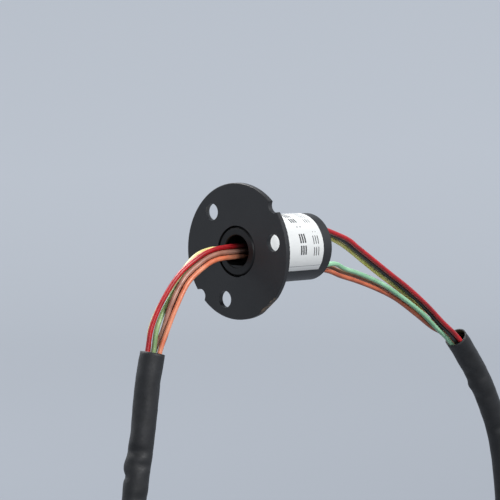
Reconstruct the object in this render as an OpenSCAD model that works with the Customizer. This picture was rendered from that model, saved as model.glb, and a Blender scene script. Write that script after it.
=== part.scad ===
// Capsule slip ring with a round mounting flange, six circuits.
// Millimetres. The spin axis is Y, up is +Z. The origin is the centre of the
// flange's rear face, the face that lies against a panel; the flange's front
// looks toward -Y and the housing runs toward +Y.

/* [Flange] */
// Outer diameter of the mounting flange
flange_d = 44; // [38:0.5:50]
// Thickness of the mounting flange
flange_t = 1.8; // [1.2:0.1:3]
// Diameter of the circle the three mounting holes lie on
hole_circle_d = 33; // [30:0.5:36]
// Diameter of each mounting hole
hole_d = 5.5; // [3:0.1:6]
// Clock angle of the first mounting hole, from +X toward +Z
hole_clock = 12; // [0:1:119]
// Diameter of the two round rim notches
notch_d = 4.8; // [3:0.1:7]
// Distance of the notch centres from the axis
notch_reach = 22.4; // [22:0.1:25]
// Clock angle of the first rim notch, the other is opposite
notch_clock = 43; // [0:1:179]
// Clock angle of the trimmed moulding gate on the rim
gate_clock = -51; // [-180:1:180]
// Depth of the trimmed flat at the gate
gate_depth = 0.45; // [0:0.05:1]
// Chamfer round the hub's front edge
hub_cut = 0.6; // [0.1:0.1:1]
// Chamfer round the mouth of the hub's bore
mouth_cut = 0.3; // [0.1:0.1:0.8]

/* [Housing] */
// Outer diameter of the housing tube
body_d = 22; // [18:0.5:26]
// Length of the housing behind the flange
body_len = 32; // [28:0.5:40]
// Inner diameter of the housing tube
tube_d = 19; // [16:0.5:20]
// Chamfer on the outer edges of the housing
edge_cut = 0.2; // [0:0.05:0.5]
// Gap between the turning hub and the flange opening
hub_gap = 0.3; // [0.2:0.05:0.5]

/* [Label] */
// Distance of the label's front edge from the flange's rear face
label_from = 2.5; // [1:0.1:15]
// Bare length of the housing behind the label
label_margin = 4.3; // [2:0.1:18]
// Thickness of the label
label_t = 0.12; // [0.08:0.01:0.3]
// Clock angle where the label begins, from +X toward +Z
label_clock = -38; // [-90:1:90]
// Angle that the label covers
label_arc = 243; // [90:1:340]

/* [Rotor] */
// Diameter of the hub disc that shows in the flange
hub_d = 16; // [14:0.1:17]
// Diameter of the hub's wire bore
bore_d = 10.4; // [8:0.1:11]
// Height of the flat ledge below the bore's centre
ledge_drop = 4.5; // [3:0.1:5]
// Diameter of the spindle's inner wire channel
channel_d = 6.6; // [6:0.1:7.2]
// Diameter of the spindle where the rings are stacked
stack_d = 8.4; // [8:0.1:9]
// Diameter of the rear journal
journal_d = 6; // [5:0.1:6]

/* [Contact rings] */
// Number of circuits, one contact ring each
circuits = 6; // [2:1:6]
// Outer diameter of a contact ring
ring_d = 11; // [10:0.1:11.2]
// Width of a contact ring
ring_w = 1.4; // [1:0.1:1.6]
// Depth of the groove that the brush wires run in
groove_depth = 0.4; // [0.2:0.05:0.6]
// Width of the groove at its bottom
groove_w = 0.5; // [0.4:0.05:0.6]
// Width of the groove at its mouth
groove_mouth = 0.9; // [0.6:0.05:1]
// Outer diameter of an insulating spacer
spacer_d = 11.8; // [11.2:0.1:12]

/* [Brushes] */
// Diameter of a brush wire
brush_d = 0.4; // [0.2:0.05:0.6]
// Clearance between a brush wire and the bottom of its groove
brush_gap = 0.05; // [0.02:0.01:0.1]
// Thickness of a brush board
board_t = 0.8; // [0.6:0.1:1]
// Distance of a board's inner face from the axis
board_z = 6.6; // [6.3:0.1:7]
// Width of a brush board
board_w = 11.8; // [8:0.1:11.8]

/* [Bearings] */
// Outer diameter of the front bearing
front_od = 18; // [17:0.5:18]
// Bore of the front bearing
front_id = 12; // [12:0.5:13]
// Width of the front bearing
front_w = 4; // [3:0.1:5]
// Ball diameter of the front bearing
front_ball_d = 1.6; // [1:0.1:2]
// Radial height of each race of the front bearing
front_race_h = 1.1; // [0.9:0.05:1.2]
// Number of balls in the front bearing
front_ball_n = 14; // [8:1:16]
// Outer diameter of the rear bearing
rear_od = 10; // [9:0.5:10]
// Width of the rear bearing
rear_w = 3; // [2:0.1:4]
// Ball diameter of the rear bearing
rear_ball_d = 1.2; // [0.8:0.1:1.4]
// Radial height of each race of the rear bearing
rear_race_h = 0.7; // [0.6:0.05:0.8]
// Number of balls in the rear bearing
rear_ball_n = 8; // [6:1:10]
// Running clearance between a ball and its grooves
ball_gap = 0.05; // [0.02:0.01:0.1]

/* [Leads] */
// Diameter of an insulated lead wire
wire_d = 1.6; // [1:0.1:2]
// Diameter of a tinned wire end
tip_d = 1; // [0.6:0.1:1.2]
// Length of a tinned wire end
tip_len = 6; // [3:0.5:8]
// Outer diameter of the heat-shrink sleeves
sleeve_d = 8; // [7.6:0.1:9]
// Wall of the heat-shrink sleeves
sleeve_wall = 0.4; // [0.3:0.1:0.6]

/* [Hidden] */
fine = 96;
small = 32;
seat_from = 0.8;
seat_to = seat_from + front_w;
seat_run = 0.5;
hub_r = hub_d / 2;
opening_r = hub_r + hub_gap;
spindle_step = 0.2;
neck_shoulder = 0.9;
ledge_from = 0.2;
ledge_to = 3.6;
ledge_root = 0.2;
cone_to = 4.6;
through = 1;
neck_r = front_id / 2;
stack_from = 7.2;
cap_from = body_len - 1.6;
cap_floor = body_len - 0.8;
cap_cut = 0.15;
// Counted forward from the cap: the journal's end, the rear bearing, the ring stack
journal_to = cap_floor - 1;
journal_past = 0.6;
snap_t = 0.4;
snap_lug = 0.9;
snap_depth = 0.3;
snap_gap = 30;
rear_to = journal_to - journal_past - snap_t;
rear_from = rear_to - rear_w;
shoulder_len = 0.2;
shoulder_h = 0.7;
collar_len = 2;
collar_wall = 0.8;
stack_to = rear_from - shoulder_len - collar_len;
spacer_w = (stack_to - stack_from - circuits * ring_w) / (circuits + 1);
pitch = ring_w + spacer_w;
boss_r = rear_od / 2 + 1;
washer_in = 0.1;
washer_out = 0.05;
lip_r = journal_d / 2 + snap_lug + 0.4;
groove_r = ring_d / 2 - groove_depth;
leg_x = groove_r + brush_gap + brush_d / 2;
leg_past = 1.5;
board_from = 6.8;
board_past = 0.6;
board_len = stack_to + board_past - board_from;
slot_x = 1.7;
slot_z = board_z + board_t / 2;
slot_gap = 0.05;
slot_place = [1, 0, -1, 1, -1, 0];
channel_from = 6.5;
front_cage_t = 0.4;
rear_cage_t = 0.3;
cage_share = 0.6;
front_pitch_r = (front_od + front_id) / 4;
rear_pitch_r = (rear_od + journal_d) / 4;
lug_d = 0.8;
lug_proud = 0.3;
lug_bore_d = 0.9;
lug_r = 2.55;
lug_clock = [70, 190, 250, 10, 130, 310];
// The contact ring that each wire serves: red, black, yellow, green, brown, orange
wire_ring = [1, 3, 5, 2, 4, 6];

// Centre lines of the two bundles, chosen by hand: [y, z] in the plane x = front_lead_x or 0
front_lead_x = -2.5;
front_lead = [
    [-3, -0.5], [-10, -1], [-16, -3], [-23.5, -8], [-30, -15.5], [-34, -23],
    [-36.5, -30], [-39, -39], [-42, -58], [-45, -75], [-47, -100], [-48, -134],
    [-48.5, -180], [-49, -226]
];
rear_lead = [
    [34.5, 0], [46, -3], [52, -5.5], [60, -8.5], [70, -13], [80, -18],
    [90, -24], [99, -30], [106, -35], [113.5, -41], [124, -54], [134, -74],
    [138.5, -100], [140, -126], [140, -155], [140, -188]
];
// Each wire's place in its bundle at those points, the last one from there on:
// [up and away from the flange, toward +X]
front_lay = [
    // red
    [[1.9, 0.2], [1.7, 0.1], [1.7, 0], [2.1, -0.4],
     [2.3, -0.7], [2.3, -1.2], [1.7, -1.1], [1.6, -0.7]],
    // black
    [[-1.7, -0.6], [-1.5, -0.5], [-1.5, -0.2], [-1.7, 0.2],
     [-2, 0.4], [-2.9, 0.5], [-2.3, 0.3], [-2.1, 1]],
    // yellow
    [[1.3, -1.6], [1.7, -1.6], [1.7, -1.8], [0.8, -1.7],
     [1.2, -2], [1.2, -2.7], [0.3, -2.2], [0.2, -1.8]],
    // green
    [[-0.4, -1.7], [0, -1.4], [-0.1, -1.4], [-0.9, -1.4],
     [-0.7, -1.5], [1.1, 0], [0.5, 0.4], [0.4, 0.6]],
    // brown
    [[0.3, 0.9], [0.3, 1], [0.2, 0.8], [0.4, 0.7],
     [0.2, 1.3], [-1.2, 0.4], [-0.9, -0.8], [-1.1, -0.5]],
    // orange
    [[-1.4, 1.1], [-1.4, 1.3], [-1.4, 1.6], [-1, 1.8],
     [-1.4, 2.3], [-1, 2.5], [-0.5, 2.1], [-0.5, 2.2]]
];
rear_lay = [
    // red
    [[6.5, 2.1], [5.3, 3.1], [4.6, 2.9], [3.4, 2.4], [2.4, 2],
     [1.8, 1.9], [1.4, 1.8], [0.6, 2.1], [0.3, 2.8], [-0.3, 2.3]],
    // black
    [[6.4, 0.3], [5.1, 0.8], [4.5, 0.6], [3.1, 0.3], [2.1, 0],
     [1.5, -0.1], [1.2, -0.1], [0.2, 0.3], [-0.3, 1.1], [-1, 0.7]],
    // yellow
    [[6.2, -1.5], [4.1, -0.8], [3.9, -1.3], [2.5, -1.6], [1.5, -2],
     [1.1, -2.1], [1.5, -2.3], [1.8, -1.5], [1.7, -0.5], [1.6, -0.2]],
    // green
    [[-6.9, 1.5], [-3.6, 0.2], [-3.2, -0.3], [-2.5, -0.2], [-1.7, 0],
     [-1.7, 0.2], [-1.5, 0.4], [-1.7, 0.2], [-1.5, -0.1], [-2.2, -0.5]],
    // brown
    [[-6.9, -2.1], [-4.5, -2.8], [-4, -2.8], [-3.1, -2.5], [-1.9, -2.4],
     [-0.8, -2.3], [-0.7, -2.3], [0.3, -2.5], [1.9, -2.9], [1.3, -2.4]],
    // orange
    [[-7.2, -0.3], [-6.2, -1.4], [-5.7, -1.5], [-4.9, -1.4], [-3.7, -1.3],
     [-2.7, -1.6], [-2.6, -1], [-1.6, -1.9], [0, -1.8], [-0.5, -2]]
];
front_sleeve_route = [
    [-2.5, -37, -30.3], [-2.5, -39, -39], [-2.5, -42, -58], [-2.5, -45, -75],
    [-2.5, -47, -100], [-2.5, -48, -134]
];
rear_sleeve_route = [
    [0, 109, -35.6], [0, 114, -41], [0, 124, -54], [0, 134, -74],
    [0, 138.5, -100], [0, 140, -126]
];
// How far the wires fan out at the last two points
front_fan = [1.9, 2.7];
rear_fan = [1.6, 2.3];
ring_of_wires_r = 1.85;

// Small helpers
function unit(v) = v / norm(v);
function blend(a, b, c, d, t) = 0.5 * (2 * b + (c - a) * t
    + (2 * a - 5 * b + 4 * c - d) * t * t
    + (3 * b - a - 3 * c + d) * t * t * t);
function smooth(p, n) = [
    for (i = [0 : len(p) - 2])
        for (k = [0 : n - 1])
            blend(p[max(i - 1, 0)], p[i], p[i + 1], p[min(i + 2, len(p) - 1)], k / n),
    p[len(p) - 1]
];
function heading(p, i) = unit(p[min(i + 1, len(p) - 1)] - p[max(i - 1, 0)]);
function side_of(t) = unit([1, 0, 0] - t[0] * t);
function loop_at(p, i, r, sides) = let (t = heading(p, i), u = side_of(t), v = cross(t, u)) [
    for (j = [0 : sides - 1])
        p[i] + r * (cos(360 * j / sides) * u + sin(360 * j / sides) * v)
];
function wall_faces(n, s, o, out) = [
    for (i = [0 : n - 2])
        for (j = [0 : s - 1])
            for (half = [0, 1])
                let (a = o + i * s + j, b = o + i * s + (j + 1) % s)
                    let (f = half == 0 ? [a, a + s, b + s] : [a, b + s, b])
                        out ? f : [f[2], f[1], f[0]]
];
function ring_y(i) = stack_from + spacer_w + ring_w / 2 + (i - 1) * pitch;

// Wire routes: the bundle's centre line plus the wire's place in the bundle
function line_heading(line, k) = unit(line[min(k + 1, len(line) - 1)] - line[max(k - 1, 0)]);
function fan_at(line, k, fan) = k < len(line) - 2 ? 1 : fan[k - len(line) + 2];
function laid_out(line, x, lay, fan, away) = [
    for (k = [0 : len(line) - 1])
        let (
            h = k == 0 ? [away, 0] : line_heading(line, k),
            n = away * [-h[1], h[0]],
            p = lay[min(k, len(lay) - 1)] * fan_at(line, k, fan)
        )
            [x + p[1], line[k][0] + p[0] * n[0], line[k][1] + p[0] * n[1]]
];
function in_channel(i, y) = [
    ring_of_wires_r * cos(lug_clock[wire_ring[i - 1] - 1]), y,
    ring_of_wires_r * sin(lug_clock[wire_ring[i - 1] - 1])
];
function front_route(i) = concat(
    [in_channel(i, ring_y(wire_ring[i - 1]) + lug_d / 2), in_channel(i, channel_from)],
    laid_out(front_lead, front_lead_x, front_lay[i - 1], front_fan, -1)
);
function in_slot(i, y) = [
    slot_x * slot_place[i - 1], y, slot_z * (i <= circuits / 2 ? 1 : -1)
];
function rear_route(i) = concat(
    [in_slot(i, board_from + board_len), in_slot(i, body_len - edge_cut)],
    laid_out(rear_lead, 0, rear_lay[i - 1], rear_fan, 1)
);

module about_spin_axis() {
    rotate([-90, 0, 0]) children();
}

module clocked(a) {
    rotate([0, 0, -a]) children();
}

module turned(profile, facets = fine) {
    about_spin_axis() rotate_extrude($fn = facets) polygon(profile);
}

// Solid round cord along a route
module cord(route, d, n = 2, sides = 8) {
    p = smooth(route, n);
    m = len(p);
    points = [for (i = [0 : m - 1]) each loop_at(p, i, d / 2, sides)];
    start = [for (j = [0 : sides - 1]) j];
    end = [for (j = [sides - 1 : -1 : 0]) (m - 1) * sides + j];
    polyhedron(points = points, faces = concat(wall_faces(m, sides, 0, true), [start], [end]));
}

// Hollow sleeve along a route
module hollow_cord(route, d, wall, n = 2, sides = 16) {
    p = smooth(route, n);
    m = len(p);
    outer = [for (i = [0 : m - 1]) each loop_at(p, i, d / 2, sides)];
    inner = [for (i = [0 : m - 1]) each loop_at(p, i, d / 2 - wall, sides)];
    o = m * sides;
    last = (m - 1) * sides;
    mouths = [
        for (j = [0 : sides - 1])
            let (k = (j + 1) % sides)
                each [
                    [j, k, o + k], [j, o + k, o + j],
                    [last + k, last + j, o + last + j], [last + k, o + last + j, o + last + k]
                ]
    ];
    polyhedron(
        points = concat(outer, inner),
        faces = concat(wall_faces(m, sides, 0, true), wall_faces(m, sides, o, false), mouths)
    );
}

module tinned_end(route) {
    tip = route[len(route) - 1];
    dir = unit(tip - route[len(route) - 2]);
    cord([tip, tip + tip_len * dir], tip_d, 1, 8);
}

// Housing: flange and tube in one moulding
module housing() {
    flange_r = flange_d / 2;
    body_r = body_d / 2;
    tube_r = tube_d / 2;
    color([0.16, 0.16, 0.17])
    difference() {
        turned([
            [opening_r, -flange_t],
            [flange_r - edge_cut, -flange_t],
            [flange_r, edge_cut - flange_t],
            [flange_r, -edge_cut],
            [flange_r - edge_cut, 0],
            [body_r, 0],
            [body_r, body_len - edge_cut],
            [body_r - edge_cut, body_len],
            [tube_r, body_len],
            [tube_r, seat_to + seat_run],
            [front_od / 2, seat_to],
            [front_od / 2, seat_from],
            [opening_r, seat_from]
        ]);
        about_spin_axis() {
            for (k = [0 : 2])
                clocked(hole_clock + 120 * k)
                    translate([hole_circle_d / 2, 0, -flange_t - through])
                        cylinder(h = flange_t + 2 * through, d = hole_d, $fn = small);
            for (k = [0, 1])
                clocked(notch_clock + 180 * k)
                    translate([notch_reach, 0, -flange_t - through])
                        cylinder(h = flange_t + 2 * through, d = notch_d, $fn = small);
            clocked(gate_clock)
                translate([flange_r - gate_depth, -flange_r, -flange_t - through])
                    cube([gate_depth + through, flange_d, flange_t + 2 * through]);
        }
    }
}

// Rear cap: closes the tube, seats the rear bearing, lets the two wire groups out
module rear_cap() {
    color([0.14, 0.14, 0.15])
    difference() {
        turned([
            [0, cap_floor],
            [lip_r, cap_floor],
            [lip_r, rear_to + snap_t],
            [rear_od / 2, rear_to + snap_t],
            [rear_od / 2, rear_from],
            [boss_r, rear_from],
            [boss_r, cap_from],
            [tube_d / 2, cap_from],
            [tube_d / 2, body_len - cap_cut],
            [tube_d / 2 - cap_cut, body_len],
            [0, body_len]
        ]);
        for (s = [-1, 1])
            translate([
                -slot_x - wire_d / 2 - slot_gap * 2,
                cap_from - through,
                s * slot_z - wire_d / 2 - slot_gap
            ])
                cube([
                    2 * slot_x + wire_d + slot_gap * 4,
                    body_len - cap_from + 2 * through,
                    wire_d + slot_gap * 2
                ]);
    }
}

// Label: thin sheet wrapped around the tube
module label() {
    color([0.93, 0.94, 0.95])
    about_spin_axis()
        clocked(label_clock + label_arc)
            translate([0, 0, label_from])
                rotate_extrude(angle = label_arc, $fn = fine)
                    translate([body_d / 2, 0])
                        square([label_t, body_len - label_margin - label_from]);
}

// Brush boards: one above and one below the ring stack
module board(side) {
    color([0.12, 0.32, 0.2])
    translate([-board_w / 2, board_from, side > 0 ? board_z : -board_z - board_t])
        cube([board_w, board_len, board_t]);
}

module upper_board() {
    board(1);
}

module lower_board() {
    board(-1);
}

// Brush: one bent gold wire, its two legs run in the groove of a contact ring
module brush(i) {
    side = i % 2 == 1 ? 1 : -1;
    bar_z = side * (board_z - brush_d / 2);
    color([0.83, 0.69, 0.3])
    translate([0, ring_y(i), 0]) {
        for (sx = [-1, 1]) {
            translate([sx * leg_x, 0, min(bar_z, -side * leg_past)])
                cylinder(h = abs(bar_z) + leg_past, d = brush_d, $fn = small);
            translate([sx * leg_x, 0, bar_z])
                sphere(d = brush_d, $fn = small);
        }
        translate([-leg_x, 0, bar_z])
            rotate([0, 90, 0])
                cylinder(h = 2 * leg_x, d = brush_d, $fn = small);
    }
}

module brush_1() {
    brush(1);
}

module brush_2() {
    brush(2);
}

module brush_3() {
    brush(3);
}

module brush_4() {
    brush(4);
}

module brush_5() {
    brush(5);
}

module brush_6() {
    brush(6);
}

// Ball bearing pieces, from the bearing's own measures
module race(r_from, r_to, y_from, width, ball_path_r, ball_d) {
    color([0.72, 0.73, 0.75])
    about_spin_axis()
        rotate_extrude($fn = fine)
            difference() {
                translate([r_from, y_from])
                    square([r_to - r_from, width]);
                translate([ball_path_r, y_from + width / 2])
                    circle(r = ball_d / 2 + ball_gap, $fn = small);
            }
}

module balls(count, path_r, y_mid, ball_d) {
    color([0.82, 0.83, 0.85])
    about_spin_axis()
        for (k = [0 : count - 1])
            clocked(360 * k / count)
                translate([path_r, 0, y_mid])
                    sphere(d = ball_d, $fn = small);
}

module cage(count, path_r, y_mid, ball_d, thick, width) {
    color([0.78, 0.66, 0.4])
    difference() {
        turned([
            [path_r - thick / 2, y_mid - width / 2],
            [path_r + thick / 2, y_mid - width / 2],
            [path_r + thick / 2, y_mid + width / 2],
            [path_r - thick / 2, y_mid + width / 2]
        ]);
        about_spin_axis()
            for (k = [0 : count - 1])
                clocked(360 * k / count)
                    translate([path_r - thick, 0, y_mid])
                        rotate([0, 90, 0])
                            cylinder(h = 2 * thick, d = ball_d + 2 * ball_gap, $fn = small);
    }
}

module front_outer_race() {
    race(front_od / 2 - front_race_h, front_od / 2, seat_from, front_w, front_pitch_r, front_ball_d);
}

module front_inner_race() {
    race(front_id / 2, front_id / 2 + front_race_h, seat_from, front_w, front_pitch_r, front_ball_d);
}

module front_balls() {
    balls(front_ball_n, front_pitch_r, seat_from + front_w / 2, front_ball_d);
}

module front_cage() {
    cage(front_ball_n, front_pitch_r, seat_from + front_w / 2, front_ball_d, front_cage_t, cage_share * front_w);
}

module rear_outer_race() {
    race(rear_od / 2 - rear_race_h, rear_od / 2, rear_from, rear_w, rear_pitch_r, rear_ball_d);
}

module rear_inner_race() {
    race(journal_d / 2, journal_d / 2 + rear_race_h, rear_from, rear_w, rear_pitch_r, rear_ball_d);
}

module rear_balls() {
    balls(rear_ball_n, rear_pitch_r, rear_from + rear_w / 2, rear_ball_d);
}

module rear_cage() {
    cage(rear_ball_n, rear_pitch_r, rear_from + rear_w / 2, rear_ball_d, rear_cage_t, cage_share * rear_w);
}

// Rotor spindle: hub disc, bearing neck, ring stack seat and rear journal in one moulding
module rotor_spindle() {
    color([0.13, 0.13, 0.14]) {
        difference() {
            turned([
                [bore_d / 2 + mouth_cut, -flange_t],
                [hub_r - hub_cut, -flange_t],
                [hub_r, hub_cut - flange_t],
                [hub_r, seat_from - spindle_step],
                [neck_r + neck_shoulder, seat_from - spindle_step],
                [neck_r + neck_shoulder, seat_from],
                [neck_r, seat_from],
                [neck_r, stack_from],
                [stack_d / 2, stack_from],
                [stack_d / 2, stack_to + collar_len],
                [journal_d / 2 + shoulder_h, stack_to + collar_len],
                [journal_d / 2 + shoulder_h, rear_from],
                [journal_d / 2, rear_from],
                [journal_d / 2, rear_to],
                [journal_d / 2 - snap_depth, rear_to],
                [journal_d / 2 - snap_depth, rear_to + snap_t],
                [journal_d / 2, rear_to + snap_t],
                [journal_d / 2, journal_to],
                [0, journal_to],
                [0, stack_to],
                [channel_d / 2, stack_to],
                [channel_d / 2, channel_from],
                [bore_d / 2, cone_to],
                [bore_d / 2, mouth_cut - flange_t]
            ]);
            for (i = [1 : circuits])
                lug_bore(i);
        }
        ledge();
    }
}

module lug_bore(i) {
    about_spin_axis()
        clocked(lug_clock[i - 1])
            translate([lug_r, 0, ring_y(i)])
                rotate([0, 90, 0])
                    cylinder(h = stack_d / 2, d = lug_bore_d, $fn = small);
}

// Flat ledge across the lower part of the hub's bore
module ledge() {
    intersection() {
        turned([
            [0, ledge_from - flange_t],
            [bore_d / 2 + ledge_root, ledge_from - flange_t],
            [bore_d / 2 + ledge_root, ledge_to],
            [0, ledge_to]
        ]);
        translate([-bore_d, -flange_t, -bore_d])
            cube([2 * bore_d, flange_t + ledge_to + through, bore_d - ledge_drop]);
    }
}

module stack_collar() {
    color([0.6, 0.61, 0.63])
    turned([
        [stack_d / 2, stack_to],
        [stack_d / 2 + collar_wall, stack_to],
        [stack_d / 2 + collar_wall, stack_to + collar_len],
        [stack_d / 2, stack_to + collar_len]
    ]);
}

// Snap ring: holds the rear bearing's inner race on the journal
module snap_ring() {
    color([0.45, 0.46, 0.48])
    about_spin_axis()
        clocked(90 - snap_gap / 2)
            translate([0, 0, rear_to])
                rotate_extrude(angle = 360 - snap_gap, $fn = fine)
                    translate([journal_d / 2 - snap_depth, 0])
                        square([snap_lug + snap_depth, snap_t]);
}

// Spring washer between the rear bearing and the cap
module wave_washer() {
    color([0.66, 0.67, 0.68])
    turned([
        [lip_r + washer_in, rear_to],
        [rear_od / 2 - washer_out, rear_to],
        [rear_od / 2 - washer_out, rear_to + snap_t],
        [lip_r + washer_in, rear_to + snap_t]
    ]);
}

// Contact ring with its wire groove and the lug its wire is soldered to
module contact_ring(i) {
    r = ring_d / 2;
    y = ring_y(i);
    color([0.85, 0.68, 0.28]) {
        turned([
            [stack_d / 2, y - ring_w / 2],
            [r, y - ring_w / 2],
            [r, y - groove_mouth / 2],
            [groove_r, y - groove_w / 2],
            [groove_r, y + groove_w / 2],
            [r, y + groove_mouth / 2],
            [r, y + ring_w / 2],
            [stack_d / 2, y + ring_w / 2]
        ]);
        about_spin_axis()
            clocked(lug_clock[i - 1])
                translate([lug_r, 0, y])
                    rotate([0, 90, 0])
                        cylinder(h = stack_d / 2 + lug_proud - lug_r, d = lug_d, $fn = small);
    }
}

module contact_ring_1() {
    contact_ring(1);
}

module contact_ring_2() {
    contact_ring(2);
}

module contact_ring_3() {
    contact_ring(3);
}

module contact_ring_4() {
    contact_ring(4);
}

module contact_ring_5() {
    contact_ring(5);
}

module contact_ring_6() {
    contact_ring(6);
}

// Insulating spacer in front of each contact ring, and one behind the last
module spacer(i) {
    y = stack_from + (i - 1) * pitch;
    color([0.88, 0.86, 0.78])
    turned([
        [stack_d / 2, y],
        [spacer_d / 2, y],
        [spacer_d / 2, y + spacer_w],
        [stack_d / 2, y + spacer_w]
    ]);
}

module spacer_1() {
    spacer(1);
}

module spacer_2() {
    spacer(2);
}

module spacer_3() {
    spacer(3);
}

module spacer_4() {
    spacer(4);
}

module spacer_5() {
    spacer(5);
}

module spacer_6() {
    spacer(6);
}

module spacer_7() {
    spacer(7);
}

// Lead wires: the front six turn with the rotor, the rear six stay with the housing
module front_red_wire() {
    color([0.75, 0.1, 0.12])
    cord(front_route(1), wire_d);
}

module front_black_wire() {
    color([0.08, 0.08, 0.08])
    cord(front_route(2), wire_d);
}

module front_yellow_wire() {
    color([0.9, 0.83, 0.4])
    cord(front_route(3), wire_d);
}

module front_green_wire() {
    color([0.62, 0.85, 0.68])
    cord(front_route(4), wire_d);
}

module front_brown_wire() {
    color([0.62, 0.36, 0.26])
    cord(front_route(5), wire_d);
}

module front_orange_wire() {
    color([0.95, 0.55, 0.36])
    cord(front_route(6), wire_d);
}

module rear_red_wire() {
    color([0.75, 0.1, 0.12])
    cord(rear_route(1), wire_d);
}

module rear_black_wire() {
    color([0.08, 0.08, 0.08])
    cord(rear_route(2), wire_d);
}

module rear_yellow_wire() {
    color([0.9, 0.83, 0.4])
    cord(rear_route(3), wire_d);
}

module rear_green_wire() {
    color([0.62, 0.85, 0.68])
    cord(rear_route(4), wire_d);
}

module rear_brown_wire() {
    color([0.62, 0.36, 0.26])
    cord(rear_route(5), wire_d);
}

module rear_orange_wire() {
    color([0.95, 0.55, 0.36])
    cord(rear_route(6), wire_d);
}

module front_sleeve() {
    color([0.2, 0.2, 0.2])
    hollow_cord(front_sleeve_route, sleeve_d, sleeve_wall, 4);
}

module rear_sleeve() {
    color([0.2, 0.2, 0.2])
    hollow_cord(rear_sleeve_route, sleeve_d, sleeve_wall, 4);
}

module front_tips() {
    color([0.75, 0.76, 0.78])
    for (i = [1 : circuits])
        tinned_end(front_route(i));
}

module rear_tips() {
    color([0.75, 0.76, 0.78])
    for (i = [1 : circuits])
        tinned_end(rear_route(i));
}

housing();
rear_cap();
label();
upper_board();
lower_board();
brush_1();
brush_2();
brush_3();
brush_4();
brush_5();
brush_6();
front_outer_race();
front_inner_race();
front_balls();
front_cage();
rear_outer_race();
rear_inner_race();
rear_balls();
rear_cage();
rotor_spindle();
stack_collar();
snap_ring();
wave_washer();
contact_ring_1();
contact_ring_2();
contact_ring_3();
contact_ring_4();
contact_ring_5();
contact_ring_6();
spacer_1();
spacer_2();
spacer_3();
spacer_4();
spacer_5();
spacer_6();
spacer_7();
front_red_wire();
front_yellow_wire();
front_green_wire();
front_brown_wire();
front_black_wire();
front_orange_wire();
rear_red_wire();
rear_black_wire();
rear_yellow_wire();
rear_green_wire();
rear_brown_wire();
rear_orange_wire();
front_sleeve();
rear_sleeve();
front_tips();
rear_tips();
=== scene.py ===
import math

import bpy
import bmesh
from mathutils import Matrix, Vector


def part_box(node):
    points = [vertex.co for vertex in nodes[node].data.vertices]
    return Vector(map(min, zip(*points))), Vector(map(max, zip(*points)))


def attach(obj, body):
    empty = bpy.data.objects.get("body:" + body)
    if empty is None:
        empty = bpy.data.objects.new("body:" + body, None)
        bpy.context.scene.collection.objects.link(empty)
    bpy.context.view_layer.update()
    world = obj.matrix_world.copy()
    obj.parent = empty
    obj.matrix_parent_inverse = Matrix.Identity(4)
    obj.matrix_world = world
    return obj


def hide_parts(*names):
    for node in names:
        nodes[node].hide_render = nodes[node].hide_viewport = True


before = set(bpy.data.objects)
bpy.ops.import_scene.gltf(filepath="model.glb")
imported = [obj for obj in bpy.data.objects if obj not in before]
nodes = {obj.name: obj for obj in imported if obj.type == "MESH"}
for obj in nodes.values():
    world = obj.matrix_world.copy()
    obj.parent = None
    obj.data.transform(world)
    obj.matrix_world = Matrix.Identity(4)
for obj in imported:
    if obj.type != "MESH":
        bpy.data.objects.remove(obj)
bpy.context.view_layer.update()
mm = 0.001


# Small helpers

def paint(red, green, blue):
    # a colour as a paint chart gives it, turned to Blender's linear values
    shares = [c / 255 for c in (red, green, blue)]
    return tuple(s / 12.92 if s < 0.04045 else ((s + 0.055) / 1.055) ** 2.4 for s in shares) + (1,)


def addNode(tree, kind, inputs=None, **settings):
    made = tree.nodes.new(kind)
    for name, value in settings.items():
        setattr(made, name, value)
    for key, value in (inputs or {}).items():
        if isinstance(value, bpy.types.NodeSocket):
            tree.links.new(value, made.inputs[key])
        else:
            made.inputs[key].default_value = value
    return made


def calc(tree, operation, *values):
    made = addNode(tree, "ShaderNodeMath", dict(enumerate(values)), operation=operation)
    return made.outputs[0]


def between(tree, value, low, high, fromLow=0.0, fromHigh=1.0):
    made = addNode(tree, "ShaderNodeMapRange", {"Value": value, "From Min": fromLow, "From Max": fromHigh,
                                                "To Min": low, "To Max": high})
    return made.outputs[0]


def mixed(tree, share, first, second):
    made = addNode(tree, "ShaderNodeMix", data_type="RGBA")
    for socket, value in ((made.inputs[0], share), (made.inputs[6], first), (made.inputs[7], second)):
        if isinstance(value, bpy.types.NodeSocket):
            tree.links.new(value, socket)
        else:
            socket.default_value = value
    return made.outputs[2]


def blankMaterial(name):
    material = bpy.data.materials.new(name)
    material.use_nodes = True
    tree = material.node_tree
    return material, tree, tree.nodes["Principled BSDF"]


def usePlace(tree):
    return addNode(tree, "ShaderNodeTexCoord").outputs["Object"]


def dress(material, *names):
    for name in names:
        slots = nodes[name].material_slots
        for slot in slots:
            slot.material = material


# Camera

cameraSetup = {
    "eye": (0.6212, -0.6484, 0.0612),
    "target": (0.00228, 0.00217, 0.00036),
    "lens": 201.9,
}


def setCamera():
    camera = bpy.data.objects.new("camera", bpy.data.cameras.new("camera"))
    bpy.context.scene.collection.objects.link(camera)
    eye = Vector(cameraSetup["eye"])
    camera.location = eye
    camera.rotation_euler = (Vector(cameraSetup["target"]) - eye).to_track_quat("-Z", "Y").to_euler()
    camera.data.lens = cameraSetup["lens"]
    camera.data.clip_end = 50
    bpy.context.scene.camera = camera


setCamera()


# Shader groups: each gives masks, values, colours or normals only

def newGroup(name, inputs, outputs):
    group = bpy.data.node_groups.new(name, "ShaderNodeTree")
    for label, kind in inputs:
        group.interface.new_socket(label, in_out="INPUT", socket_type="NodeSocket" + kind)
    for label, kind in outputs:
        group.interface.new_socket(label, in_out="OUTPUT", socket_type="NodeSocket" + kind)
    return group, addNode(group, "NodeGroupInput"), addNode(group, "NodeGroupOutput")


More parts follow.
